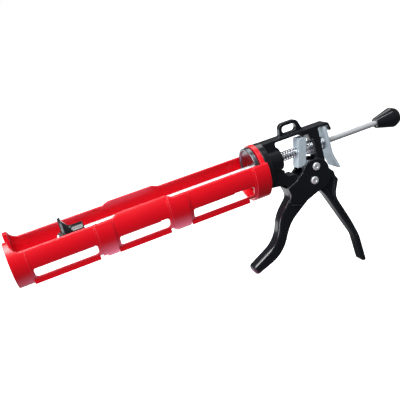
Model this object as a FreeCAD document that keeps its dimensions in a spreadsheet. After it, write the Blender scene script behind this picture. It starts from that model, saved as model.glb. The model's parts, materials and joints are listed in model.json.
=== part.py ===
import FreeCAD, Part
import Sketcher
import math
import os
import re
from FreeCAD import Placement, Rotation, Vector

# Open-cradle gun for 310 ml cartridges, in millimetres.
# The origin is on the push rod's axis, in the face that the cartridge seats on.
# +X runs back along the rod to the pull knob, +Z is up and the nozzle end is at -X.

SIZES = {
    # cradle: open half shell with three windows a side, closed by a front plate and a rear ring
    "shellRadius": 28.5, "shellWall": 2.4, "shellDrop": 2.5, "cradleLength": 238.4, "frontPlate": 4,
    "shellTop": 7.7, "wingRise": 2.7, "wingFront": 141, "wingRear": 95, "wingRamp": 6,
    "lipRise": 9.3, "lipSweep": 9, "notchRadius": 13, "slotTop": 9.8, "slotTall": 11, "slotCorner": 3,
    "baysFront": 225, "bayLong": 58.3, "bayShort": 48.6, "bandFront": 21.3, "bandRear": 24.5,
    "bandInset": 3, "bandProud": 1.1, "floorSlot": 38, "floorAhead": 3, "floorBehind": 8, "railWidth": 2.4,
    "railDeep": 26.6, "railTall": 5, "lastStretch": 5.5, "collarFront": 5, "collarProud": 1.1,
    "strapRadius": 22.7, "rearFace": 10.2, "rearWall": 4.6,
    # seat ring, neck and flange that the cradle turns on
    "seatRadius": 21.4, "seatRim": 2.4, "seatDish": 1.2, "seatDepth": 5, "neckRadius": 10,
    "neckStart": 2.4, "swivelGap": 0.35, "flangeRadius": 22.3, "flangeDepth": 6.3,
    # push rod, plunger and knob
    "rodRadius": 3, "runGap": 0.05, "looseGap": 0.9, "fitGap": 0.05, "rodFront": 196.9, "rodRear": 170,
    "plungerRear": 190.5, "plungerRadius": 17.5, "plungerSheet": 1.6, "plungerRim": 1.2, "cupLength": 19.5,
    "cupMouth": 14.8, "cupSwell": 6.5, "cupRadius": 7.9, "washerRadius": 5.8, "washerDepth": 0.9,
    "nutRadius": 4.6, "nutDepth": 2.2,
    "knobStart": 152, "knobLength": 28.2, "knobSmall": 5.6, "knobBig": 11, "knobMouth": 4.4,
    "knobDome": 7.5, "knobRound": 4, "mouthDepth": 3,
    # body casting
    "bodyWidth": 14, "barTop": 21, "barDeep": 2.6, "barEnd": 93.5, "windowFront": 31, "windowRear": 73.5,
    "windowFloor": 24.5, "windowStep": 19.5, "lugFront": 61, "lugRear": 69, "lugDrop": 2.9, "bossRadius": 12,
    "bossEnd": 34.3, "backFace": 81, "wallLean": 1, "lipReach": 95.5, "lipThick": 3, "lipDrop": 8.6,
    "loopFront": 39.5, "loopRear": 65.5, "loopRise": 12.8, "loopBar": 3.2, "loopWidth": 5, "loopCorner": 6,
    "gripRecess": 2.8, "gripRound": 2, "bushWall": 1.2,
    # trigger and its pins
    "pivotX": 63.9, "pivotZ": 32.4, "pusherX": 68.9, "pusherZ": 18.9, "headRadius": 14.4, "headX": 68.5,
    "headZ": 25.6, "cheekWall": 2.8, "cheekGap": 0.4, "creaseX": 50, "creaseZ": 38, "creaseTurn": 111.7,
    "flareDepth": 17, "triggerWidth": 14, "triggerRound": 3.4,
    "rivetRadius": 3, "rivetHead": 4.2, "rivetDome": 1.7, "rivetDimple": 1.5, "pusherRadius": 2.5,
    "rollerRadius": 4.2,
    # drive plates, leaning back from the plane square to the rod
    "plateThick": 4.2, "plateTop": 14.3, "plateTall": 31, "plateLean": 13.1, "platePitch": 4.5,
    "plateX": 57, "plateWidth": 12, "shoeTop": 11.5, "shoeTall": 8.5, "shoeDeep": 4.6, "shoeWidth": 9,
    # springs on the rod: mean coil radius, wire radius and turns
    "driveCoil": 4.7, "driveWire": 0.65, "driveTurns": 6, "driveEnd": 53.1, "rearCoil": 6.5, "rearWire": 0.7,
    "rearTurns": 3, "rearStart": 66.4, "brakeCoil": 6.5, "brakeWire": 0.55, "brakeTurns": 2, "springGap": 0.3,
    # release plate
    "leverThick": 2.4, "leverWidth": 20, "leverX": 86.6, "leverTop": 17.3, "leverKnee": 12,
    "leverLean": 1.8, "leverKick": 5.8, "leverTail": 17.5, "leverRound": 8,
}

doc = FreeCAD.newDocument("caulking_gun")
sheet = doc.addObject("Spreadsheet::Sheet", "sizes")
for row, (alias, amount) in enumerate(SIZES.items(), start=1):
    sheet.set("A%d" % row, alias)
    sheet.set("B%d" % row, str(amount))
    sheet.setAlias("B%d" % row, alias)
doc.recompute()

TERM = re.compile(r"([+-]?)\s*([A-Za-z]\w*|\d+(?:\.\d+)?)(?:\s*([*/])\s*(\d+(?:\.\d+)?))?")
nodes = []


def number(text):
    """Value of a sum of named sizes, such as 'rodRadius + 2'."""
    total = 0.0
    for sign, name, operator, factor in TERM.findall(text):
        term = float(name) if name[0].isdigit() else float(sheet.get(name))
        if operator == "*":
            term *= float(factor)
        if operator == "/":
            term /= float(factor)
        total += -term if sign == "-" else term
    return total


def bound(text):
    """The same sum as an expression on the sheet."""
    return re.sub(r"[A-Za-z]\w*", lambda name: "sizes." + name.group(), text)


def minus(text):
    """The sum with every sign turned, so that it counts from the other side."""
    return "0 - " + text.translate(str.maketrans("+-", "-+"))


def bind(item, **properties):
    for name, text in properties.items():
        item.setExpression(name.replace("_", "."), bound(text))


# Sketches ------------------------------------------------------------------------------------

def new_body(label):
    body = doc.addObject("PartDesign::Body", label)
    body.Label = label
    nodes.append(body)
    return body


def sketch_on(body, role, offset=None):
    plane = next(item for item in body.Origin.OriginFeatures if item.Role == role)
    sketch = body.newObject("Sketcher::SketchObject", body.Name + "_sketch")
    sketch.AttachmentSupport = [(plane, "")]
    sketch.MapMode = "FlatFace"
    if offset:
        sketch.setExpression("AttachmentOffset.Base.z", bound(offset))
    return sketch


def place_point(sketch, rules, geometry, position, x_text, y_text):
    """Constraints that put a point at two named distances from the sketch's origin."""
    for kind, text, axis in (("DistanceX", x_text, -2), ("DistanceY", y_text, -1)):
        if text == "0":
            rules.append((Sketcher.Constraint("PointOnObject", geometry, position, axis), None))
        else:
            rules.append((Sketcher.Constraint(kind, -1, 1, geometry, position, number(text)), text))


def apply_rules(sketch, rules):
    """Adds the constraints and binds each one that has a named size to the sheet."""
    first = sketch.ConstraintCount
    sketch.addConstraint([rule for rule, _ in rules])
    for step, (_, text) in enumerate(rules):
        if text and re.search("[A-Za-z]", text):
            sketch.setExpression("Constraints[%d]" % (first + step), bound(text))


def fitted_shares(points, radii):
    """How much of each corner's radius its two sides have room for, 1 where the arc fits whole."""
    total = len(points)
    reaches = []
    for index, radius in enumerate(radii):
        turn = (points[index - 1] - points[index]).getAngle(points[(index + 1) % total] - points[index])
        reaches.append(radius / math.tan(turn / 2))
    shares = [1.0] * total
    for index in range(total):
        after = (index + 1) % total
        taken = reaches[index] + reaches[after]
        room = points[index].distanceToPoint(points[after]) * 0.97
        if taken > room:
            shares[index] = min(shares[index], room / taken)
            shares[after] = min(shares[after], room / taken)
    return shares


def draw_outline(sketch, corners):
    """Closed outline through corners (x, y) or (x, y, radius), each a sum of named sizes."""
    points = [Vector(number(corner[0]), number(corner[1]), 0) for corner in corners]
    total = len(corners)
    shares = fitted_shares(points, [number(corner[2]) if len(corner) > 2 else 0 for corner in corners])
    ends = []
    arcs = []
    for index, corner in enumerate(corners):
        here = points[index]
        if len(corner) < 3:
            ends.append((here, here))
            arcs.append(None)
            continue
        to_last = (points[index - 1] - here).normalize()
        to_next = (points[(index + 1) % total] - here).normalize()
        half = to_last.getAngle(to_next) / 2
        radius = number(corner[2]) * shares[index]
        reach = radius / math.tan(half)
        centre = here + (to_last + to_next).normalize() * (radius / math.sin(half))
        middle = centre + (here - centre).normalize() * radius
        ends.append((here + to_last * reach, here + to_next * reach))
        arcs.append(Part.Arc(ends[-1][0], middle, ends[-1][1]))
    lines = [
        sketch.addGeometry(Part.LineSegment(ends[index][1], ends[(index + 1) % total][0]))
        for index in range(total)
    ]
    rules = []
    for index, corner in enumerate(corners):
        before, after = lines[index - 1], lines[index]
        if arcs[index] is None:
            rules.append((Sketcher.Constraint("Coincident", before, 2, after, 1), None))
            place_point(sketch, rules, after, 1, corner[0], corner[1])
            continue
        arc = sketch.addGeometry(arcs[index])
        near = 1 if sketch.getPoint(arc, 1).distanceToPoint(ends[index][0]) < 1e-6 else 2
        mark = sketch.addGeometry(Part.Point(points[index]), True)
        rules.append((Sketcher.Constraint("Tangent", before, 2, arc, near), None))
        rules.append((Sketcher.Constraint("Tangent", arc, 3 - near, after, 1), None))
        limited = corner[2] if shares[index] == 1 else None
        rules.append((Sketcher.Constraint("Radius", arc, number(corner[2]) * shares[index]), limited))
        rules.append((Sketcher.Constraint("PointOnObject", mark, 1, before), None))
        rules.append((Sketcher.Constraint("PointOnObject", mark, 1, after), None))
        place_point(sketch, rules, mark, 1, corner[0], corner[1])
    apply_rules(sketch, rules)
    return sketch


def draw_circle(sketch, radius, x_text="0", y_text="0"):
    centre = Vector(number(x_text), number(y_text), 0)
    circle = sketch.addGeometry(Part.Circle(centre, Vector(0, 0, 1), number(radius)))
    rules = [(Sketcher.Constraint("Radius", circle, number(radius)), radius)]
    place_point(sketch, rules, circle, 3, x_text, y_text)
    apply_rules(sketch, rules)
    return sketch


# Features ------------------------------------------------------------------------------------

def add_pad(body, sketch, length, symmetric=False):
    feature = body.newObject("PartDesign::Pad", body.Name + "_pad")
    feature.Profile = sketch
    feature.Midplane = symmetric
    bind(feature, Length=length)
    doc.recompute()
    return feature


def add_pocket(body, sketch, length=None, reverse=False, symmetric=False):
    """Cut of a named depth, or through everything on both sides of the sketch."""
    before = body.Shape.Volume
    feature = body.newObject("PartDesign::Pocket", body.Name + "_pocket")
    feature.Profile = sketch
    feature.Midplane = symmetric or not length
    if length:
        feature.Reversed = reverse
        bind(feature, Length=length)
    else:
        feature.Type = "ThroughAll"
    doc.recompute()
    if body.Shape.Volume > before - 1e-3:
        raise RuntimeError("%s: a pocket cut nothing" % body.Label)
    return feature


def add_turn(body, corners):
    """Solid of revolution about X, from an outline of (x, radius) corners."""
    sketch = draw_outline(sketch_on(body, "XZ_Plane"), corners)
    feature = body.newObject("PartDesign::Revolution", body.Name + "_turn")
    feature.Profile = sketch
    feature.ReferenceAxis = (sketch, ["H_Axis"])
    feature.Angle = 360
    doc.recompute()
    return feature


def is_rim(edge, level):
    """True for an edge that bounds a side face at Y = +level or Y = -level."""
    box = edge.BoundBox
    return box.YLength < 1e-3 and abs(abs(box.YMin) - level) < 1e-3


def round_edges(body, radius, chosen):
    """Fillet of the edges of the body's last feature that the test picks."""
    base = body.Tip
    names = ["Edge%d" % (index + 1) for index, edge in enumerate(base.Shape.Edges) if chosen(edge)]
    feature = body.newObject("PartDesign::Fillet", body.Name + "_fillet")
    feature.Base = (base, names)
    bind(feature, Radius=radius)
    doc.recompute()
    return feature


def turned(label, corners):
    body = new_body(label)
    add_turn(body, corners)
    return body


# Cradle --------------------------------------------------------------------------------------

def disc_pad(body, radius, start, length, rise="0"):
    """Round pad about an axis along X, from X = start."""
    sketch = draw_circle(sketch_on(body, "YZ_Plane", start), radius, "0", rise)
    return add_pad(body, sketch, length)


def disc_pocket(body, radius, start, length, rise="0"):
    sketch = draw_circle(sketch_on(body, "YZ_Plane", start), radius, "0", rise)
    return add_pocket(body, sketch, length, reverse=True)


def window(body, role, front, rear, low, high, corner, depth=None, reverse=False):
    sketch = sketch_on(body, role)
    draw_outline(sketch, [
        (front, low, corner), (rear, low, corner), (rear, high, corner), (front, high, corner),
    ])
    return add_pocket(body, sketch, depth, reverse)


# front end, rear end, and how far the side slots run on past the rear end
BAYS = (
    ("0 - baysFront", "bayLong - baysFront", "0"),
    ("bayLong + bandFront - baysFront", "bayLong + bandFront + bayShort - baysFront", "0"),
    ("bayLong + bandFront + bayShort + bandRear - baysFront",
     "bayLong * 2 + bandFront + bayShort + bandRear - baysFront", "lastStretch"),
)


def make_cradle():
    body = new_body("cradle_shell")
    disc_pad(body, "shellRadius", "0 - cradleLength - frontPlate", "cradleLength + frontPlate + rearFace",
             "0 - shellDrop")
    for front, gap in ((BAYS[0][1], "bandFront"), (BAYS[1][1], "bandRear")):
        disc_pad(body, "shellRadius + bandProud", front + " + bandInset", gap + " - bandInset * 2",
                 "0 - shellDrop")
    disc_pad(body, "shellRadius + collarProud", "0 - collarFront", "collarFront + rearFace", "0 - shellDrop")
    disc_pocket(body, "shellRadius - shellWall", "0 - cradleLength", "cradleLength + rearFace - rearWall",
                "0 - shellDrop")
    # everything above the two top edges goes, then the rear wall gets its round top
    above = "shellRadius * 2"
    lip = "shellTop + lipRise"
    wing = "shellTop + wingRise"
    trim = sketch_on(body, "XZ_Plane")
    draw_outline(trim, [
        ("0 - cradleLength - frontPlate * 2", above), ("0 - cradleLength - frontPlate * 2", lip),
        ("0 - cradleLength", lip, "1"), ("0 - cradleLength + 3", "shellTop", "lipSweep"),
        ("0 - wingFront - wingRamp", "shellTop", "2"), ("0 - wingFront", wing, "2"),
        ("0 - wingRear", wing, "2"), ("wingRamp - wingRear", "shellTop", "2"),
        ("rearFace * 2", "shellTop"), ("rearFace * 2", above),
    ])
    add_pocket(body, trim)
    disc_pad(body, "strapRadius", "rearFace - rearWall", "rearWall")
    for front, rear, stretch in BAYS:
        side_rear = rear + " + " + stretch
        window(body, "XZ_Plane", front, side_rear, "0 - slotTop - slotTall", "0 - slotTop", "slotCorner")
        ahead = front + " - floorAhead"
        window(body, "XY_Plane", ahead, rear + " + floorBehind",
               "0 - floorSlot / 2", "floorSlot / 2", "slotCorner", "shellRadius * 2")
        for side in (str, minus):
            rail = sketch_on(body, "XY_Plane", "0 - railDeep")
            near, far = side("floorSlot / 2"), side("floorSlot / 2 + railWidth")
            draw_outline(rail, [(ahead, near), (rear, near), (rear, far), (ahead, far)])
            add_pad(body, rail, "railTall")
    notch = sketch_on(body, "YZ_Plane", "0 - cradleLength - frontPlate * 2")
    draw_outline(notch, [
        ("0 - notchRadius", above), ("0 - notchRadius", "0 - notchRadius", "notchRadius - 0.5"),
        ("notchRadius", "0 - notchRadius", "notchRadius - 0.5"), ("notchRadius", above),
    ])
    add_pocket(body, notch, "frontPlate * 2 + 0.5", reverse=True)
    disc_pocket(body, "neckRadius + runGap", "0", "rearFace + 1")


# Body casting --------------------------------------------------------------------------------

def make_casting():
    body = new_body("frame_casting")
    flange = "rearFace + swivelGap"
    under = "barTop - barDeep"
    grip = sketch_on(body, "XZ_Plane")
    draw_outline(grip, [
        ("pivotX", "0 - windowFloor - 4", "4"), ("backFace + 4", "0 - windowFloor - 2", "3"),
        ("backFace + 9.3", "0 - pivotZ", "3"), ("backFace + 9.7", "0 - pivotZ - 4.4", "2.2"),
        ("backFace + 12.5", "0 - pivotZ - 9.6", "2.4"), ("backFace + 5.4", "0 - pivotZ - 26.5", "16"),
        ("backFace + 17.5", "0 - pivotZ - 57.5", "60"), ("backFace + 24.6", "0 - pivotZ - 80", "50"),
        ("backFace + 27.5", "0 - pivotZ - 113.5", "2.2"), ("backFace + 21.8", "0 - pivotZ - 111", "2.2"),
        ("backFace + 20", "0 - pivotZ - 92", "25"), ("backFace + 18.6", "0 - pivotZ - 79", "16"),
        ("pivotX + 9.5", "0 - pivotZ - 17.5", "45"), ("pivotX + 1", "0 - pivotZ - 9", "3"),
        ("pivotX - 5", "0 - pivotZ - 6", "2.2"),
    ])
    add_pad(body, grip, "bodyWidth", symmetric=True)
    round_edges(body, "gripRound", lambda edge: is_rim(edge, number("bodyWidth") / 2))
    side = sketch_on(body, "XZ_Plane")
    draw_outline(side, [
        (flange, "0 - windowFloor", "1.5"), (flange, "barTop", "1.5"), ("barEnd", "barTop", "3"),
        ("lipReach", "barTop - lipDrop + 1.5", "3"), ("lipReach", "barTop - lipDrop - 0.5", "0.9"),
        ("lipReach - lipThick", "barTop - lipDrop - 0.5", "0.9"),
        ("lipReach - lipThick", under + " - 1", "2"),
        ("backFace + 6", under, "2"), ("backFace", under, "1.5"),
        ("backFace + wallLean", "1 - windowFloor", "2"),
        ("backFace - 3", "0 - pivotZ - 2", "2"), ("pivotX", "0 - pivotZ - 7", "2"),
        ("pivotX - 11", "0 - pivotZ - 6", "8"), ("windowFront", "0 - windowFloor - 3", "5"),
    ])
    add_pad(body, side, "bodyWidth", symmetric=True)
    opening = sketch_on(body, "XZ_Plane")
    draw_outline(opening, [
        ("windowFront", under, "1.5"), ("lugFront", under, "1"), ("lugFront + 1", under + " - lugDrop", "1"),
        ("lugRear", under + " - lugDrop", "1.5"), ("lugRear + 1", under + " - lugDrop - 6", "1.5"),
        ("windowRear", under + " - lugDrop - 6.5", "1.5"), ("windowRear", "0 - windowFloor", "3"),
        ("windowFront + 16.5", "0 - windowFloor", "2"), ("windowFront + 15", "0 - windowStep", "1.5"),
        ("windowFront + 8", "0 - windowStep", "2"), ("windowFront + 4", "0 - windowStep + 3.5", "2"),
        ("windowFront + 4", "0 - bossRadius", "2"), ("windowFront", "0 - bossRadius + 2", "2"),
    ])
    add_pocket(body, opening)
    disc_pad(body, "flangeRadius", flange, "flangeDepth")
    disc_pad(body, "neckRadius", "neckStart", flange + " - neckStart + 1")
    disc_pad(body, "bossRadius", flange, "bossEnd - rearFace - swivelGap")
    # hanging loop
    loop = sketch_on(body, "XZ_Plane")
    draw_outline(loop, [
        ("loopFront - 4", "barTop - 1", "1"), ("loopFront", "barTop + 1", "3"),
        ("loopFront + 2", "barTop + loopRise", "loopCorner"),
        ("loopRear - 4", "barTop + loopRise", "loopCorner"), ("loopRear", "barTop + 2", "4"),
        ("loopRear + 6", "barTop - 1", "1"),
    ])
    add_pad(body, loop, "loopWidth", symmetric=True)
    window(body, "XZ_Plane", "loopFront + loopBar + 1", "loopRear - loopBar - 3", "barTop + 2",
           "barTop + loopRise - loopBar", "3.6")
    # bores for the rod's bushes and the pivot's bush
    bore = draw_circle(sketch_on(body, "YZ_Plane"), "rodRadius + runGap + bushWall + fitGap")
    add_pocket(body, bore)
    pivot = sketch_on(body, "XZ_Plane")
    add_pocket(body, draw_circle(pivot, "rivetRadius + fitGap * 2 + bushWall", "pivotX", "0 - pivotZ"))
    # the grip is an I section: a thin web between a front and a rear rib
    for offset, reverse in (("bodyWidth / 2", False), ("0 - bodyWidth / 2", True)):
        recess = sketch_on(body, "XZ_Plane", offset)
        draw_outline(recess, [
            ("backFace + 5.5", "0 - pivotZ - 4", "2"), ("backFace + 7.5", "0 - pivotZ - 9", "3"),
            ("backFace + 2.6", "0 - pivotZ - 26.5", "14"), ("backFace + 14.8", "0 - pivotZ - 57.5", "60"),
            ("backFace + 21.6", "0 - pivotZ - 78", "1.2"), ("backFace + 20.8", "0 - pivotZ - 80", "1"),
            ("pivotX + 14", "0 - pivotZ - 20.5", "60"), ("pivotX + 13", "0 - pivotZ - 6", "2"),
        ])
        add_pocket(body, recess, "gripRecess", reverse)


# Trigger -------------------------------------------------------------------------------------

CHEEK = "bodyWidth / 2 + cheekGap + cheekWall"


def make_trigger():
    body = new_body("trigger")
    grip = sketch_on(body, "XZ_Plane")
    draw_outline(grip, [
        ("pivotX - 32", "0 - pivotZ + 2", "4"), ("pivotX - 28", "0 - pivotZ - 8", "8"),
        ("pivotX - 45.5", "0 - pivotZ - 26", "40"), ("pivotX - 54", "0 - pivotZ - 52", "34"),
        ("pivotX - 87.5", "0 - pivotZ - 69.5", "4"), ("pivotX - 84.5", "0 - pivotZ - 79.4", "4"),
        ("pivotX - 50", "0 - pivotZ - 67", "40"), ("pivotX - 34", "0 - pivotZ - 37", "40"),
        ("pivotX", "0 - pivotZ - 14", "4"), ("pivotX - 10", "0 - pivotZ", "4"),
    ])
    add_pad(body, grip, "triggerWidth", symmetric=True)
    round_edges(body, "triggerRound", lambda edge: is_rim(edge, number("triggerWidth") / 2))
    head = sketch_on(body, "XZ_Plane")
    draw_outline(head, [
        ("pivotX - 31", "0 - pivotZ + 1.6", "2"), ("pivotX - 20", "0 - pivotZ + 5.6", "6"),
        ("headX - headRadius - 1", "0 - headZ + 6", "6"),
        ("headX - headRadius * 0.6", "headRadius - headZ", "8"),
        ("headX + headRadius", "headRadius - headZ", "headRadius - 1"),
        ("headX + headRadius", "0 - headZ - headRadius", "headRadius - 1"),
        ("pivotX + 1", "0 - pivotZ - 13.6", "2"), ("pivotX - 18.6", "0 - pivotZ - 22.2", "3"),
        ("pivotX - 31.6", "0 - pivotZ - 17", "3"), ("pivotX - 28.5", "0 - pivotZ - 7.6", "6"),
    ])
    add_pad(body, head, "bodyWidth + cheekGap * 2 + cheekWall * 2", symmetric=True)
    # below a slanting crease the cheeks narrow to the grip's width
    narrow = "triggerWidth / 2"
    for side in (str, minus):
        flare = sketch_on(body, "XY_Plane")
        flare.AttachmentOffset = Placement(Vector(), Rotation(Vector(0, 1, 0), 1))
        flare.setExpression("AttachmentOffset.Base.x", bound("creaseX"))
        flare.setExpression("AttachmentOffset.Base.z", bound("0 - creaseZ"))
        flare.setExpression("AttachmentOffset.Rotation.Angle", bound("creaseTurn"))
        draw_outline(flare, [
            ("0", side(CHEEK)), ("flareDepth", side(narrow)), ("flareDepth", side(narrow + " + 10")),
            ("0", side(CHEEK + " + 10")),
        ])
        add_pocket(body, flare)
    slot = sketch_on(body, "XZ_Plane")
    draw_outline(slot, [
        ("pivotX - 60", "20"), ("pivotX - 60", "0 - windowFloor - 4"),
        ("windowFront - 4.5", "0 - windowFloor - 4.2", "2"),
        ("pivotX - 9", "0 - pivotZ - 11", "4"), ("pivotX - 9", "0 - pivotZ - 40"),
        ("backFace + 20", "0 - pivotZ - 40"), ("backFace + 20", "20"),
    ])
    add_pocket(body, slot, "bodyWidth + cheekGap * 2", symmetric=True)
    for radius, x, z in (("rivetRadius + runGap", "pivotX", "0 - pivotZ"),
                         ("pusherRadius + fitGap", "pusherX", "0 - pusherZ")):
        add_pocket(body, draw_circle(sketch_on(body, "XZ_Plane"), radius, x, z))


# Turned pieces along the rod -----------------------------------------------------------------

def make_rod_pieces():
    disc = "0 - plungerRear - plungerSheet"
    bore = "rodRadius + fitGap"
    turned("rod", [
        ("0 - rodFront", "0"), ("0 - rodFront", "rodRadius", "0.6"), ("rodRear", "rodRadius", "0.6"),
        ("rodRear", "0"),
    ])
    turned("plunger_disc", [
        (disc, bore), (disc, "plungerRadius", "0.9"), (disc + " + 2.8", "plungerRadius"),
        (disc + " + 2.8", "plungerRadius - plungerRim"),
        ("0 - plungerRear", "plungerRadius - plungerRim", "0.6"), ("0 - plungerRear", bore),
    ])
    turned("plunger_cup", [
        ("fitGap - plungerRear", bore), ("fitGap - plungerRear", "cupMouth"),
        ("fitGap - plungerRear + 1", "cupMouth"), ("cupSwell - plungerRear", "cupRadius", "5"),
        ("cupLength - plungerRear", "cupRadius", "1"),
        ("cupLength - plungerRear", bore),
    ])
    washer = disc + " - fitGap"
    turned("plunger_washer", [
        (washer, bore), (washer, "washerRadius"), (washer + " - washerDepth", "washerRadius", "0.3"),
        (washer + " - washerDepth", bore),
    ])
    nut = doc.addObject("Part::Prism", "nut_blank")
    nut.Polygon = 6
    bind(nut, Circumradius="nutRadius", Height="nutDepth")
    hole = doc.addObject("Part::Cylinder", "nut_hole")
    bind(hole, Radius=bore, Height="nutDepth")
    plunger_nut = doc.addObject("Part::Cut", "plunger_nut")
    plunger_nut.Base, plunger_nut.Tool = nut, hole
    plunger_nut.Placement = Placement(Vector(), Rotation(Vector(0, 1, 0), -90))
    bind(plunger_nut, Placement_Base_x="0 - plungerRear - plungerSheet - fitGap * 2 - washerDepth")
    nodes.append(plunger_nut)
    tip = "knobStart + knobLength"
    turned("knob", [
        ("knobStart", "knobMouth"), ("knobStart", "knobSmall", "0.5"), (tip + " - knobDome", "knobBig", "5"),
        (tip, "knobBig - 3", "knobRound"), (tip, "0"), ("rodRear + fitGap", "0"), ("rodRear + fitGap", bore),
        ("knobStart + mouthDepth", bore), ("knobStart + mouthDepth", "knobMouth"),
    ])
    turned("knob_ferrule", [
        ("knobStart + 0.8", bore), ("knobStart + 0.8", "knobMouth - fitGap", "0.2"),
        ("knobStart + mouthDepth - fitGap", "knobMouth - fitGap"), ("knobStart + mouthDepth - fitGap", bore),
    ])


def make_fixed_turnings():
    bore = "rodRadius + runGap"
    turned("seat_ring", [
        ("0", "seatRadius - seatRim"), ("0", "seatRadius", "0.6"), ("seatDepth", "seatRadius", "0.6"),
        ("seatDepth", "neckRadius + fitGap"), ("neckStart - fitGap", "neckRadius + fitGap"),
        ("neckStart - fitGap", "rodRadius + looseGap"), ("seatDish", "rodRadius + looseGap"),
        ("seatDish", "seatRadius - seatRim - 0.6", "0.4"),
    ])
    turned("rod_bush_front", [("neckStart", bore), ("neckStart", bore + " + bushWall"),
                              ("bossEnd", bore + " + bushWall"), ("bossEnd", bore)])
    collar = bore + " + bushWall + 1.2"
    turned("rod_bush_rear", [
        ("windowRear", bore), ("windowRear", bore + " + bushWall"), ("backFace + 0.6", bore + " + bushWall"),
        ("backFace + 0.6", collar), ("backFace + 1.4", collar, "0.3"), ("backFace + 1.4", bore),
    ])


# Pins and rollers across the body -------------------------------------------------------------

def across(label, corners, x, z):
    """Turned piece whose own axis lies along Y, through (x, z)."""
    body = turned(label, corners)
    body.Placement = Placement(Vector(), Rotation(Vector(0, 0, 1), 90))
    bind(body, Placement_Base_x=x, Placement_Base_z=z)


def rivet(label, shank, reach, x, z):
    """Round shank with a dimpled dome at each end, which starts at Y = +-reach."""
    end = reach + " + rivetDome"
    half = [
        (end + " - 0.5", "0"), (end + " - 0.5", "rivetDimple - 0.4", "0.2"), (end, "rivetDimple"),
        (end, "rivetHead", "1.3"), (reach, "rivetHead", "0.3"), (reach, shank),
    ]
    mirrored = [(minus(corner[0]),) + corner[1:] for corner in reversed(half)]
    across(label, mirrored + half, x, z)


def make_pins():
    rivet("pivot_rivet", "rivetRadius", CHEEK + " + swivelGap", "pivotX", "0 - pivotZ")
    rivet("pusher_pin", "pusherRadius", CHEEK + " + fitGap", "pusherX", "0 - pusherZ")
    half = "bodyWidth / 2"
    inner = "rivetRadius + fitGap"
    across("pivot_bush", [("0 - " + half, inner), ("0 - " + half, inner + " + bushWall"),
                          (half, inner + " + bushWall"), (half, inner)], "pivotX", "0 - pivotZ")
    half = "bodyWidth / 2 - 0.6"
    inner = "pusherRadius + fitGap"
    low = "0.6 - bodyWidth / 2"
    across("pusher_roller", [(low, inner), (low, "rollerRadius", "0.4"), (half, "rollerRadius", "0.4"),
                             (half, inner)], "pusherX", "0 - pusherZ")


# Drive plates ---------------------------------------------------------------------------------

def lean(body, x):
    body.Placement = Placement(Vector(), Rotation(Vector(0, 1, 0), 1))
    bind(body, Placement_Base_x=x, Placement_Rotation_Angle="plateLean")


def drive_plate(label, x):
    body = new_body(label)
    face = sketch_on(body, "YZ_Plane")
    half = "plateWidth / 2"
    draw_outline(face, [
        ("0 - " + half, "plateTop - plateTall", "1.5"), (half, "plateTop - plateTall", "1.5"),
        (half, "plateTop", "1.5"), ("0 - " + half, "plateTop", "1.5"),
    ])
    add_pad(body, face, "plateThick", symmetric=True)
    add_pocket(body, draw_circle(sketch_on(body, "YZ_Plane"), "rodRadius + looseGap"))
    lean(body, x)


def make_drive():
    drive_plate("drive_plate_front", "plateX")
    drive_plate("drive_plate_rear", "plateX + platePitch")
    body = new_body("drive_shoe")
    face = sketch_on(body, "YZ_Plane", "plateThick / 2 + fitGap")
    half = "shoeWidth / 2"
    draw_outline(face, [
        ("0 - " + half, "0 - shoeTop - shoeTall", "1"), (half, "0 - shoeTop - shoeTall", "1"),
        (half, "0 - shoeTop", "1"), ("0 - " + half, "0 - shoeTop", "1"),
    ])
    add_pad(body, face, "shoeDeep")
    lean(body, "plateX + platePitch")


# Release plate --------------------------------------------------------------------------------

def make_release_plate():
    body = new_body("release_plate")
    side = sketch_on(body, "XZ_Plane")
    knee = "leverX + leverLean"
    toe = knee + " + leverKick"
    draw_outline(side, [
        ("leverX", "leverTop"), (knee, "0 - leverKnee", "leverRound"),
        (toe, "0 - leverKnee - leverTail", "0.8"),
        (toe + " + leverThick", "0 - leverKnee - leverTail + 0.8", "0.8"),
        (knee + " + leverThick", "0 - leverKnee + 0.4", "leverRound - 2"),
        ("leverX + leverThick", "leverTop", "1"),
    ])
    add_pad(body, side, "leverWidth", symmetric=True)
    hole = draw_circle(sketch_on(body, "YZ_Plane"), "rodRadius + looseGap")
    add_pocket(body, hole)


# Springs --------------------------------------------------------------------------------------

def coil_spring(label, start, end, coil, wire, turns):
    """Round wire wound about the rod between X = start and X = end."""
    height = "(%s) - (%s) - 2 * %s" % (bound(end), bound(start), bound(wire))
    helix = doc.addObject("Part::Helix", label + "_path")
    helix.setExpression("Height", height)
    helix.setExpression("Pitch", "(%s) / %s" % (height, bound(turns)))
    bind(helix, Radius=coil)
    section = doc.addObject("Part::Circle", label + "_wire")
    section.Placement = Placement(Vector(), Rotation(Vector(1, 0, 0), 90))
    bind(section, Radius=wire, Placement_Base_x=coil)
    spring = doc.addObject("Part::Sweep", label)
    spring.Sections = [section]
    spring.Spine = (helix, [])
    spring.Solid = True
    spring.Frenet = True
    spring.Placement = Placement(Vector(), Rotation(Vector(0, 1, 0), 90))
    spring.setExpression("Placement.Base.x", "%s + %s" % (bound(start), bound(wire)))
    nodes.append(spring)


def make_springs():
    coil_spring("drive_spring", "bossEnd + springGap", "driveEnd",
                "driveCoil", "driveWire", "driveTurns")
    coil_spring("rear_spring", "rearStart", "windowRear - springGap",
                "rearCoil", "rearWire", "rearTurns")
    coil_spring("brake_spring", "backFace + wallLean + springGap", "leverX - springGap",
                "brakeCoil", "brakeWire", "brakeTurns")


# Build, check and write -----------------------------------------------------------------------

for stage in (make_cradle, make_casting, make_trigger, make_rod_pieces, make_fixed_turnings, make_pins,
              make_drive, make_release_plate, make_springs):
    stage()
doc.recompute()

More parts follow.
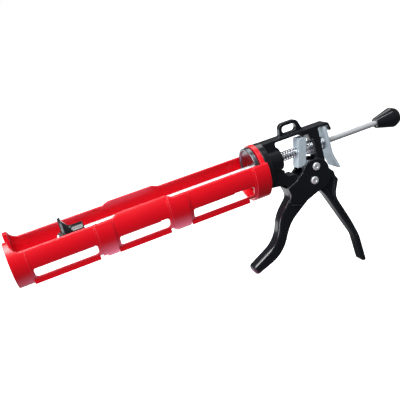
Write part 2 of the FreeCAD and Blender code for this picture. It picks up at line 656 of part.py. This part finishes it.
for item in doc.Objects:
    if "Invalid" in item.State or "Error" in item.State:
        raise RuntimeError("%s did not build: %s" % (item.Label, item.State))
for node in nodes:
    if node.Shape.isNull() or not node.Shape.isValid():
        raise RuntimeError("%s has no valid shape" % node.Label)

os.makedirs("parts", exist_ok=True)
for node in nodes:
    node.Shape.exportStep(os.path.join("parts", node.Label + ".step"))
    box = node.Shape.BoundBox
    print("%-18s solids %d volume %9.1f  X %7.1f %7.1f  Y %6.1f %6.1f  Z %7.1f %7.1f" % (
        node.Label, len(node.Shape.Solids), node.Shape.Volume,
        box.XMin, box.XMax, box.YMin, box.YMax, box.ZMin, box.ZMax))
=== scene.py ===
import json
import math

import bmesh
import bpy
from mathutils import Matrix, Vector


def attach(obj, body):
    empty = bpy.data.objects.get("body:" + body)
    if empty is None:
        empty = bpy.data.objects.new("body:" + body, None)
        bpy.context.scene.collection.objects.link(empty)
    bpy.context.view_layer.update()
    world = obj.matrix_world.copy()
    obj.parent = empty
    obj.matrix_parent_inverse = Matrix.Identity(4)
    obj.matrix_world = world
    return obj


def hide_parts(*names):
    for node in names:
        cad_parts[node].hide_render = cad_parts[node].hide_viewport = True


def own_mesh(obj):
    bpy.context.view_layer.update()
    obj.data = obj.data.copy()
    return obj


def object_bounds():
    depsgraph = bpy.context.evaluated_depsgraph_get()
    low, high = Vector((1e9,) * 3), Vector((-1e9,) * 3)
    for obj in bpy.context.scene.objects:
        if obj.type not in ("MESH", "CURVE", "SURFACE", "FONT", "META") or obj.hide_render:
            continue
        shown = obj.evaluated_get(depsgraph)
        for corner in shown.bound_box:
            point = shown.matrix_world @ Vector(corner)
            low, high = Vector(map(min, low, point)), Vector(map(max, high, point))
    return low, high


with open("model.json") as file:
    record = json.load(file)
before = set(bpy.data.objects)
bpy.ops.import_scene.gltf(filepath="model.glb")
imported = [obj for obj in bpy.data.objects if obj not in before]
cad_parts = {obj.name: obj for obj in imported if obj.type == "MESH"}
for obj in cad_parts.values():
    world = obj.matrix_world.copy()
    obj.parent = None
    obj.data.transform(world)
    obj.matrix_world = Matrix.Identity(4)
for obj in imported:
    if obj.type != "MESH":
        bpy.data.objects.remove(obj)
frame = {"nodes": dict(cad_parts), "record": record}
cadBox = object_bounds()
nodes = frame["nodes"]
print("frame loaded:", len(nodes), "nodes")


# effects that several materials share

effectSettings = {
    "fineDetail": 3, "broadScale": 38, "broadDetail": 4, "noiseMiddle": 0.5,
    "driftDetail": 5, "fleckScale": 420, "fleckDetail": 2, "fleckFrom": 0.66, "fleckFull": 0.76,
    "cornerSamples": 6, "patchScale": 160, "patchDetail": 6, "bumpDepth": 0.0004,
}


def newGroup(name, inputs, outputs):
    group = bpy.data.node_groups.new(name, "ShaderNodeTree")
    for label, kind, value in inputs:
        socket = group.interface.new_socket(name=label, in_out="INPUT", socket_type=kind)
        socket.default_value = value
    for label, kind in outputs:
        group.interface.new_socket(name=label, in_out="OUTPUT", socket_type=kind)
    entry = group.nodes.new("NodeGroupInput")
    leave = group.nodes.new("NodeGroupOutput")
    return group, entry, leave


def addNode(tree, kind, **values):
    node = tree.nodes.new(kind)
    for key, value in values.items():
        setattr(node, key, value)
    return node


def makeGrainGroup():
    # fine surface texture: height for a bump, and a roughness that wanders round its base value
    group, entry, leave = newGroup("surfaceGrain", [
        ("Scale", "NodeSocketFloat", 900.0), ("Stretch", "NodeSocketVector", (1, 1, 1)),
        ("Base Roughness", "NodeSocketFloat", 0.3), ("Spread", "NodeSocketFloat", 0.1),
    ], [("Height", "NodeSocketFloat"), ("Roughness", "NodeSocketFloat")])
    place = addNode(group, "ShaderNodeTexCoord")
    stretch = addNode(group, "ShaderNodeVectorMath", operation="MULTIPLY")
    fine = addNode(group, "ShaderNodeTexNoise")
    fine.inputs["Detail"].default_value = effectSettings["fineDetail"]
    broad = addNode(group, "ShaderNodeTexNoise")
    broad.inputs["Scale"].default_value = effectSettings["broadScale"]
    broad.inputs["Detail"].default_value = effectSettings["broadDetail"]
    centred = addNode(group, "ShaderNodeMath", operation="SUBTRACT")
    centred.inputs[1].default_value = effectSettings["noiseMiddle"]
    spread = addNode(group, "ShaderNodeMath", operation="MULTIPLY_ADD")
    group.links.new(place.outputs["Object"], stretch.inputs[0])
    group.links.new(entry.outputs["Stretch"], stretch.inputs[1])
    group.links.new(stretch.outputs[0], fine.inputs["Vector"])
    group.links.new(entry.outputs["Scale"], fine.inputs["Scale"])
    group.links.new(place.outputs["Object"], broad.inputs["Vector"])
    group.links.new(broad.outputs["Fac"], centred.inputs[0])
    group.links.new(centred.outputs[0], spread.inputs[0])
    group.links.new(entry.outputs["Spread"], spread.inputs[1])
    group.links.new(entry.outputs["Base Roughness"], spread.inputs[2])
    group.links.new(fine.outputs["Fac"], leave.inputs["Height"])
    group.links.new(spread.outputs[0], leave.inputs["Roughness"])
    return group


def makeToneGroup():
    # slow drift between two tones, with sparse small flecks of a third one
    group, entry, leave = newGroup("toneDrift", [
        ("Scale", "NodeSocketFloat", 20.0), ("Tone A", "NodeSocketColor", (1, 1, 1, 1)),
        ("Tone B", "NodeSocketColor", (0, 0, 0, 1)),
        ("Fleck", "NodeSocketColor", (0.5, 0.5, 0.5, 1)), ("Fleck Amount", "NodeSocketFloat", 0.2),
    ], [("Color", "NodeSocketColor")])
    place = addNode(group, "ShaderNodeTexCoord")
    drift = addNode(group, "ShaderNodeTexNoise")
    drift.inputs["Detail"].default_value = effectSettings["driftDetail"]
    flecks = addNode(group, "ShaderNodeTexNoise")
    flecks.inputs["Scale"].default_value = effectSettings["fleckScale"]
    flecks.inputs["Detail"].default_value = effectSettings["fleckDetail"]
    sharpen = addNode(group, "ShaderNodeMapRange")
    sharpen.inputs["From Min"].default_value = effectSettings["fleckFrom"]
    sharpen.inputs["From Max"].default_value = effectSettings["fleckFull"]
    amount = addNode(group, "ShaderNodeMath", operation="MULTIPLY")
    tones = addNode(group, "ShaderNodeMix", data_type="RGBA")
    mixed = addNode(group, "ShaderNodeMix", data_type="RGBA")
    group.links.new(place.outputs["Object"], drift.inputs["Vector"])
    group.links.new(place.outputs["Object"], flecks.inputs["Vector"])
    group.links.new(entry.outputs["Scale"], drift.inputs["Scale"])
    group.links.new(drift.outputs["Fac"], tones.inputs["Factor"])
    group.links.new(entry.outputs["Tone A"], tones.inputs["A"])
    group.links.new(entry.outputs["Tone B"], tones.inputs["B"])
    group.links.new(flecks.outputs["Fac"], sharpen.inputs["Value"])
    group.links.new(sharpen.outputs["Result"], amount.inputs[0])
    group.links.new(entry.outputs["Fleck Amount"], amount.inputs[1])
    group.links.new(amount.outputs[0], mixed.inputs["Factor"])
    group.links.new(tones.outputs["Result"], mixed.inputs["A"])
    group.links.new(entry.outputs["Fleck"], mixed.inputs["B"])
    group.links.new(mixed.outputs["Result"], leave.inputs["Color"])
    return group


def makeEdgeGroup():
    # rounded corners in the shading, and a mask that is bright along corners: partly rubbed wear,
    # partly a painted edge highlight
    group, entry, leave = newGroup("edgeWearAndHighlight", [
        ("Radius", "NodeSocketFloat", 0.0006), ("Contrast", "NodeSocketFloat", 3.0),
    ], [("Normal", "NodeSocketVector"), ("Mask", "NodeSocketFloat")])
    soft = addNode(group, "ShaderNodeBevel", samples=effectSettings["cornerSamples"])
    hard = addNode(group, "ShaderNodeNewGeometry")
    compare = addNode(group, "ShaderNodeVectorMath", operation="DOT_PRODUCT")
    away = addNode(group, "ShaderNodeMath", operation="SUBTRACT")
    away.inputs[0].default_value = 1
    strength = addNode(group, "ShaderNodeMath", operation="MULTIPLY")
    place = addNode(group, "ShaderNodeTexCoord")
    patches = addNode(group, "ShaderNodeTexNoise")
    patches.inputs["Scale"].default_value = effectSettings["patchScale"]
    patches.inputs["Detail"].default_value = effectSettings["patchDetail"]
    # mask along corners, broken into patches: where rubbed wear and a painted edge highlight go
    wearAndHighlight = addNode(group, "ShaderNodeMath", operation="MULTIPLY", use_clamp=True)
    group.links.new(entry.outputs["Radius"], soft.inputs["Radius"])
    group.links.new(soft.outputs["Normal"], compare.inputs[0])
    group.links.new(hard.outputs["Normal"], compare.inputs[1])
    group.links.new(compare.outputs["Value"], away.inputs[1])
    group.links.new(away.outputs[0], strength.inputs[0])
    group.links.new(entry.outputs["Contrast"], strength.inputs[1])
    group.links.new(place.outputs["Object"], patches.inputs["Vector"])
    group.links.new(strength.outputs[0], wearAndHighlight.inputs[0])
    group.links.new(patches.outputs["Fac"], wearAndHighlight.inputs[1])
    group.links.new(soft.outputs["Normal"], leave.inputs["Normal"])
    group.links.new(wearAndHighlight.outputs[0], leave.inputs["Mask"])
    return group


grainGroup = makeGrainGroup()
toneGroup = makeToneGroup()
edgeGroup = makeEdgeGroup()
print("shader groups made")


# what a finish has unless it says otherwise; its flecks then take its first tone
plainLook = {
    "metal": 0, "coat": 0, "coatRoughness": 0.05, "driftScale": 20, "fleckAmount": 0.15,
    "grainScale": 900, "grainStretch": (1, 1, 1), "roughnessSpread": 0.12, "bump": 0.06,
    "edgeRadius": 0.0006, "edgeContrast": 3,
}


def makeFinish(name, ownLook):
    look = {**plainLook, "fleck": ownLook["toneA"], **ownLook}
    material = bpy.data.materials.new(name)
    material.use_nodes = True
    tree = material.node_tree
    surface = tree.nodes["Principled BSDF"]
    surface.inputs["Metallic"].default_value = look["metal"]
    surface.inputs["Coat Weight"].default_value = look["coat"]
    surface.inputs["Coat Roughness"].default_value = look["coatRoughness"]
    tone = addNode(tree, "ShaderNodeGroup", node_tree=toneGroup)
    tone.inputs["Scale"].default_value = look["driftScale"]
    tone.inputs["Tone A"].default_value = (*look["toneA"], 1)
    tone.inputs["Tone B"].default_value = (*look["toneB"], 1)
    tone.inputs["Fleck"].default_value = (*look["fleck"], 1)
    tone.inputs["Fleck Amount"].default_value = look["fleckAmount"]
    grain = addNode(tree, "ShaderNodeGroup", node_tree=grainGroup)
    grain.inputs["Scale"].default_value = look["grainScale"]
    grain.inputs["Stretch"].default_value = look["grainStretch"]
    grain.inputs["Base Roughness"].default_value = look["roughness"]
    grain.inputs["Spread"].default_value = look["roughnessSpread"]
    edge = addNode(tree, "ShaderNodeGroup", node_tree=edgeGroup)
    edge.inputs["Radius"].default_value = look["edgeRadius"]
    edge.inputs["Contrast"].default_value = look["edgeContrast"]
    # edge tone mixed into the base colour along corners: rubbed wear, and a painted edge highlight
    wearAndHighlight = addNode(tree, "ShaderNodeMix", data_type="RGBA")
    wearAndHighlight.inputs["B"].default_value = (*look["wearAndHighlightTone"], 1)
    bump = addNode(tree, "ShaderNodeBump")
    bump.inputs["Strength"].default_value = look["bump"]
    bump.inputs["Distance"].default_value = effectSettings["bumpDepth"]
    tree.links.new(tone.outputs["Color"], wearAndHighlight.inputs["A"])
    tree.links.new(edge.outputs["Mask"], wearAndHighlight.inputs["Factor"])
    tree.links.new(wearAndHighlight.outputs["Result"], surface.inputs["Base Color"])
    tree.links.new(grain.outputs["Roughness"], surface.inputs["Roughness"])
    tree.links.new(grain.outputs["Height"], bump.inputs["Height"])
    tree.links.new(edge.outputs["Normal"], bump.inputs["Normal"])
    tree.links.new(bump.outputs["Normal"], surface.inputs["Normal"])
    return material


looks = {
    "mouldedRed": {
        "toneA": (0.88, 0.002, 0.010), "toneB": (0.76, 0.002, 0.014),
        # the pink edge tone of the red plastic is a painted highlight along its corners
        "fleck": (0.90, 0.015, 0.03), "wearAndHighlightTone": (0.95, 0.16, 0.26), "edgeContrast": 2.2,
        "edgeRadius": 0.0009, "roughness": 0.3, "roughnessSpread": 0.14, "grainScale": 1400,
        "bump": 0.04, "coat": 0.5, "coatRoughness": 0.22,
    },
    "castBlack": {
        "toneA": (0.004, 0.005, 0.007), "toneB": (0.008, 0.009, 0.013),
        "fleck": (0.03, 0.034, 0.045), "wearAndHighlightTone": (0.14, 0.16, 0.19), "edgeContrast": 2.6,
        "edgeRadius": 0.0014, "roughness": 0.24, "roughnessSpread": 0.12, "grainScale": 350,
        "bump": 0.05, "coat": 0.6, "coatRoughness": 0.08,
    },
    "drawnSteel": {
        "toneA": (0.88, 0.90, 0.94), "toneB": (0.78, 0.81, 0.86), "fleck": (0.45, 0.48, 0.52),
        "wearAndHighlightTone": (0.95, 0.95, 0.95), "metal": 0.5, "roughness": 0.24, "roughnessSpread": 0.14,
        "grainScale": 500, "grainStretch": (0.02, 1, 1), "bump": 0.06, "driftScale": 60,
    },
    "zincPlate": {
        "toneA": (0.80, 0.92, 0.98), "toneB": (0.62, 0.76, 0.88), "fleck": (0.95, 0.98, 1.0),
        "wearAndHighlightTone": (0.97, 0.98, 1.0), "metal": 0.3, "roughness": 0.36, "roughnessSpread": 0.24,
        "grainScale": 300, "bump": 0.08, "driftScale": 45, "fleckAmount": 0.3,
    },
    "brightPin": {
        "toneA": (0.88, 0.90, 0.92), "toneB": (0.78, 0.81, 0.85), "wearAndHighlightTone": (0.96, 0.96, 0.96),
        "metal": 0.5, "roughness": 0.28, "roughnessSpread": 0.12, "grainScale": 800, "bump": 0.04,
    },
    "turnedSteel": {
        "toneA": (0.26, 0.27, 0.29), "toneB": (0.18, 0.19, 0.21), "wearAndHighlightTone": (0.55, 0.57, 0.60),
        "metal": 1, "roughness": 0.28, "roughnessSpread": 0.14, "grainScale": 500,
        "grainStretch": (6, 0.4, 0.4), "bump": 0.06, "driftScale": 30,
    },
    "springWire": {
        "toneA": (0.66, 0.69, 0.73), "toneB": (0.46, 0.49, 0.54), "wearAndHighlightTone": (0.85, 0.86, 0.88),
        "metal": 1, "roughness": 0.24, "roughnessSpread": 0.12, "grainScale": 900, "bump": 0.04,
    },
    "satinBlack": {
        "toneA": (0.008, 0.009, 0.011), "toneB": (0.016, 0.018, 0.022),
        "fleck": (0.06, 0.065, 0.075), "wearAndHighlightTone": (0.16, 0.17, 0.19), "roughness": 0.3,
        "roughnessSpread": 0.16, "bump": 0.05, "grainScale": 500, "edgeContrast": 2.0,
    },
    "glossKnob": {
        "toneA": (0.004, 0.0045, 0.006), "toneB": (0.008, 0.009, 0.012),
        "fleck": (0.02, 0.02, 0.025), "wearAndHighlightTone": (0.05, 0.055, 0.065), "roughness": 0.18,
        "roughnessSpread": 0.1, "bump": 0.02, "grainScale": 500, "coat": 0.6,
    },
}
finishes = {name: makeFinish(name, look) for name, look in looks.items()}

finishOfSlot = {
    "cradle_plastic": "mouldedRed", "body_paint": "castBlack", "rod_steel": "drawnSteel",
    "disc_paint": "satinBlack", "cup_plastic": "glossKnob", "knob_plastic": "glossKnob",
    "seat_metal": "turnedSteel", "zinc_plate": "zincPlate", "pin_steel": "brightPin",
    "bush_steel": "turnedSteel", "spring_wire": "springWire",
}
slotOfNode = {entry["node"]: entry["material_slot"] for entry in frame["record"]["subparts"]}
for nodeName, node in nodes.items():
    for materialSlot in node.material_slots:
        materialSlot.material = finishes[finishOfSlot[slotOfNode[nodeName]]]
print("materials placed")


# cradle: a bead of the same plastic along both top edges

beadSettings = {
    "radius": 0.0007, "sides": 10, "steps": 120, "wallMiddle": 0.0273, "wallDrop": 0.0025,
    "start": -0.2350, "end": -0.0005, "low": 0.0077, "high": 0.0104,
    "wingFront": -0.141, "wingRear": -0.095, "ramp": 0.006,
}


def edgeHeight(x):
    # the wall's top edge is low along the cradle and high along its wings, with a ramp at each end
    settings = beadSettings
    rise = (x - settings["wingFront"] + settings["ramp"]) / settings["ramp"]
    fall = (settings["wingRear"] + settings["ramp"] - x) / settings["ramp"]
    share = max(0, min(1, rise, fall))
    return settings["low"] + (settings["high"] - settings["low"]) * share


def sweepRound(shape, places, turns, radius, sides):
    # a closed round bar through the places, each with its own turn of the section
    previous = None
    for index, (place, turn) in enumerate(zip(places, turns)):
        ends = index in (0, len(places) - 1)
        ring = bmesh.ops.create_circle(shape, cap_ends=ends, segments=sides, radius=radius,
                                       matrix=Matrix.Translation(place) @ turn)
        loop = list({edge for vert in ring["verts"] for edge in vert.link_edges})
        if previous:
            bmesh.ops.bridge_loops(shape, edges=previous + loop)
        previous = loop


def makePiece(name, shape, finish, body):
    bmesh.ops.recalc_face_normals(shape, faces=shape.faces)
    for face in shape.faces:
        face.smooth = True
    mesh = bpy.data.meshes.new(name)
    shape.to_mesh(mesh)
    shape.free()
    mesh.materials.append(finishes[finish])
    piece = bpy.data.objects.new(name, mesh)
    bpy.context.scene.collection.objects.link(piece)
    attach(piece, body)
    return piece


def makeBead(side, name):
    settings = beadSettings
    shape = bmesh.new()
    places = []
    for step in range(settings["steps"] + 1):
        x = settings["start"] + (settings["end"] - settings["start"]) * step / settings["steps"]
        z = edgeHeight(x)
        y = side * math.sqrt(settings["wallMiddle"] ** 2 - (z + settings["wallDrop"]) ** 2)
        places.append((x, y, z))
    turn = Matrix.Rotation(math.radians(90), 4, "Y")
    sweepRound(shape, places, [turn] * len(places), settings["radius"], settings["sides"])
    makePiece(name, shape, "mouldedRed", "cradle")


makeBead(-1, "cradleBeadLeft")
makeBead(1, "cradleBeadRight")

# cradle: thin hoops on both sides, beside the proud bands and the collar

hoopSettings = {
    "radius": 0.00045, "sides": 8, "middle": 0.0285, "drop": 0.0025, "high": 18.0, "low": -44.0,
    "steps": 24, "places": (-0.2272, -0.1652, -0.1474, -0.0952, -0.0740, -0.0068),
}


def makeHoops(side, name):
    settings = hoopSettings
    shape = bmesh.new()
    for x in settings["places"]:
        places = []
        turns = []
        for step in range(settings["steps"] + 1):
            share = step / settings["steps"]
            angle = math.radians(settings["high"] + (settings["low"] - settings["high"]) * share)
            places.append((x, side * settings["middle"] * math.cos(angle),
                           settings["middle"] * math.sin(angle) - settings["drop"]))
            turns.append(Matrix.Rotation(side * angle, 4, "X"))
        sweepRound(shape, places, turns, settings["radius"], settings["sides"])
    makePiece(name, shape, "mouldedRed", "cradle")


makeHoops(-1, "cradleHoopsLeft")
makeHoops(1, "cradleHoopsRight")
print("cradle beads and hoops made")


# springs that a moving plate presses together; here each CAD coil is copied as a plain piece in
# spring wire, which does not compress
# fixedEnd is the end that stays in place, keep the share of the length that is left at the limit

springSettings = {
    "drive_spring": {
        "name": "driveSpringCoil", "joint": "trigger_pivot", "fixedEnd": 0.0346, "keep": 0.47,
    },
    "brake_spring": {
        "name": "brakeSpringCoil", "joint": "release_hinge", "fixedEnd": 0.0823, "keep": 0.5,
    },
}
mergeDistance = 0.000001


def makeSpring(nodeName):
    settings = springSettings[nodeName]
    shape = bmesh.new()
    shape.from_mesh(nodes[nodeName].data)
    bmesh.ops.remove_doubles(shape, verts=shape.verts, dist=mergeDistance)
    coil = makePiece(settings["name"], shape, "springWire", "body")
    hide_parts(nodeName)
    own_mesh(coil)


for nodeName in springSettings:
    makeSpring(nodeName)
print("springs made")


stageSettings = {
    "floorDrop": 0.004, "floorSize": 12.0, "floorTone": (0.93, 0.93, 0.93), "floorGlow": 1.0,
    "floorRoughness": 0.9, "floorSpecular": 0.1,
    "poolShift": (0.13, 0, 0), "poolStretch": (0.85, 1.0, 1.0), "poolRadius": 0.08,
    "poolEdge": 0.2, "poolTone": (1.0, 0.48, 0.74), "poolGlow": 4.5,
    "outerTone": (0.94, 0.97, 1.0), "outerGlow": 0.06,
    "backStart": 0.04, "backEnd": 0.30, "backGlow": 1.3,
}


def makePaper():
    # plain pale paper for the camera; reflections find a pink pool of light under the cradle
    # and a dim floor that gets bright behind the tool
    settings = stageSettings
    material = bpy.data.materials.new("floorPaper")
    material.use_nodes = True
    tree = material.node_tree
    surface = tree.nodes["Principled BSDF"]
    surface.inputs["Base Color"].default_value = (*settings["floorTone"], 1)
    surface.inputs["Roughness"].default_value = settings["floorRoughness"]
    surface.inputs["Specular IOR Level"].default_value = settings["floorSpecular"]
    surface.inputs["Emission Color"].default_value = (1, 1, 1, 1)
    surface.inputs["Emission Strength"].default_value = settings["floorGlow"]
    place = addNode(tree, "ShaderNodeTexCoord")
    centred = addNode(tree, "ShaderNodeVectorMath", operation="ADD")
    centred.inputs[1].default_value = settings["poolShift"]
    along = addNode(tree, "ShaderNodeVectorMath", operation="MULTIPLY")
    along.inputs[1].default_value = settings["poolStretch"]
    fade = addNode(tree, "ShaderNodeVectorMath", operation="LENGTH")
    poolShare = addNode(tree, "ShaderNodeMapRange")
    poolShare.inputs["From Min"].default_value = settings["poolRadius"]
    poolShare.inputs["From Max"].default_value = settings["poolEdge"]
    poolShare.inputs["To Min"].default_value = settings["poolGlow"]
    poolShare.inputs["To Max"].default_value = 0
    parts = addNode(tree, "ShaderNodeSeparateXYZ")
    backShare = addNode(tree, "ShaderNodeMapRange")
    backShare.inputs["From Min"].default_value = settings["backStart"]
    backShare.inputs["From Max"].default_value = settings["backEnd"]
    backShare.inputs["To Min"].default_value = settings["outerGlow"]
    backShare.inputs["To Max"].default_value = settings["backGlow"]
    pool = addNode(tree, "ShaderNodeEmission")
    pool.inputs["Color"].default_value = (*settings["poolTone"], 1)
    outer = addNode(tree, "ShaderNodeEmission")
    outer.inputs["Color"].default_value = (*settings["outerTone"], 1)
    both = addNode(tree, "ShaderNodeAddShader")
    path = addNode(tree, "ShaderNodeLightPath")
    either = addNode(tree, "ShaderNodeMixShader")
    tree.links.new(place.outputs["Object"], centred.inputs[0])
    tree.links.new(centred.outputs[0], along.inputs[0])
    tree.links.new(along.outputs[0], fade.inputs[0])
    tree.links.new(fade.outputs["Value"], poolShare.inputs["Value"])
    tree.links.new(poolShare.outputs["Result"], pool.inputs["Strength"])
    tree.links.new(place.outputs["Object"], parts.inputs[0])
    tree.links.new(parts.outputs["Y"], backShare.inputs["Value"])
    tree.links.new(backShare.outputs["Result"], outer.inputs["Strength"])
    tree.links.new(pool.outputs[0], both.inputs[0])
    tree.links.new(outer.outputs[0], both.inputs[1])
    tree.links.new(path.outputs["Is Camera Ray"], either.inputs[0])
    tree.links.new(both.outputs[0], either.inputs[1])
    tree.links.new(surface.outputs[0], either.inputs[2])
    tree.links.new(either.outputs[0], tree.nodes["Material Output"].inputs["Surface"])
    return material


def makeFloor():
    mesh = bpy.data.meshes.new("floor")
    shape = bmesh.new()
    bmesh.ops.create_grid(shape, x_segments=2, y_segments=2, size=stageSettings["floorSize"] / 2)
    height = cadBox[0].z - stageSettings["floorDrop"]
    bmesh.ops.translate(shape, vec=(0, 0, height), verts=shape.verts)
    shape.to_mesh(mesh)
    shape.free()
    floor = bpy.data.objects.new("floor", mesh)
    bpy.context.scene.collection.objects.link(floor)
    mesh.materials.append(makePaper())


# each panel: name, place, width, height, power
lightSettings = {
    "sky": 0.10, "skyTone": (0.97, 0.985, 1), "seenSky": 1.0,
    "panels": [
        ("panelTop", (-0.15, -0.15, 1.00), 1.0, 0.5, 9.0),
        ("panelFront", (-0.45, -0.75, 0.95), 0.7, 0.5, 13.0),
        ("panelLeft", (-1.00, -0.30, 0.10), 0.4, 0.4, 2.5),
        ("panelBack", (0.30, 0.60, 0.85), 0.7, 0.5, 2.0),
    ],
}


def makeLights():
    world = bpy.data.worlds.new("studio")
    bpy.context.scene.world = world
    world.use_nodes = True
    tree = world.node_tree
    tree.nodes.clear()
    path = addNode(tree, "ShaderNodeLightPath")
    seen = addNode(tree, "ShaderNodeBackground")
    seen.inputs["Color"].default_value = (1, 1, 1, 1)
    seen.inputs["Strength"].default_value = lightSettings["seenSky"]
    lit = addNode(tree, "ShaderNodeBackground")
    lit.inputs["Color"].default_value = (*lightSettings["skyTone"], 1)
    lit.inputs["Strength"].default_value = lightSettings["sky"]
    either = addNode(tree, "ShaderNodeMixShader")
    leave = addNode(tree, "ShaderNodeOutputWorld")
    tree.links.new(path.outputs["Is Camera Ray"], either.inputs[0])
    tree.links.new(lit.outputs[0], either.inputs[1])
    tree.links.new(seen.outputs[0], either.inputs[2])
    tree.links.new(either.outputs[0], leave.inputs["Surface"])
    for name, place, width, height, power in lightSettings["panels"]:
        lamp = bpy.data.lights.new(name, "AREA")
        lamp.shape = "RECTANGLE"
        lamp.size = width
        lamp.size_y = height
        lamp.energy = power
        panel = bpy.data.objects.new(name, lamp)
        panel.location = place
        panel.rotation_euler = (-Vector(place)).to_track_quat("-Z", "Y").to_euler()
        bpy.context.scene.collection.objects.link(panel)


cameraSettings = {
    "azimuth": 14.79, "elevation": 17.87, "roll": 15.64, "distance": 0.55448,
    "target": (-0.05696, 0, -0.01287), "sensor": 36.0, "lens": 50.618,
    "clipStart": 0.01, "clipEnd": 50,
}


def makeCamera():
    azimuth = math.radians(cameraSettings["azimuth"])
    elevation = math.radians(cameraSettings["elevation"])
    roll = math.radians(cameraSettings["roll"])
    back = Vector((-math.sin(azimuth) * math.cos(elevation),
                   -math.cos(azimuth) * math.cos(elevation), math.sin(elevation)))
    level = Vector((math.cos(azimuth), -math.sin(azimuth), 0))
    upright = back.cross(level)
    right = level * math.cos(roll) - upright * math.sin(roll)
    up = level * math.sin(roll) + upright * math.cos(roll)
    turn = Matrix((right, up, back)).transposed().to_4x4()
    lens = bpy.data.cameras.new("camera")
    lens.sensor_width = cameraSettings["sensor"]
    lens.lens = cameraSettings["lens"]
    lens.clip_start = cameraSettings["clipStart"]
    lens.clip_end = cameraSettings["clipEnd"]
    camera = bpy.data.objects.new("camera", lens)
    camera.matrix_world = Matrix.Translation(
        Vector(cameraSettings["target"]) + back * cameraSettings["distance"]) @ turn
    bpy.context.scene.collection.objects.link(camera)
    bpy.context.scene.camera = camera


makeFloor()
makeLights()
makeCamera()
bpy.context.scene.view_settings.view_transform = "Standard"
print("stage, lights and camera placed")
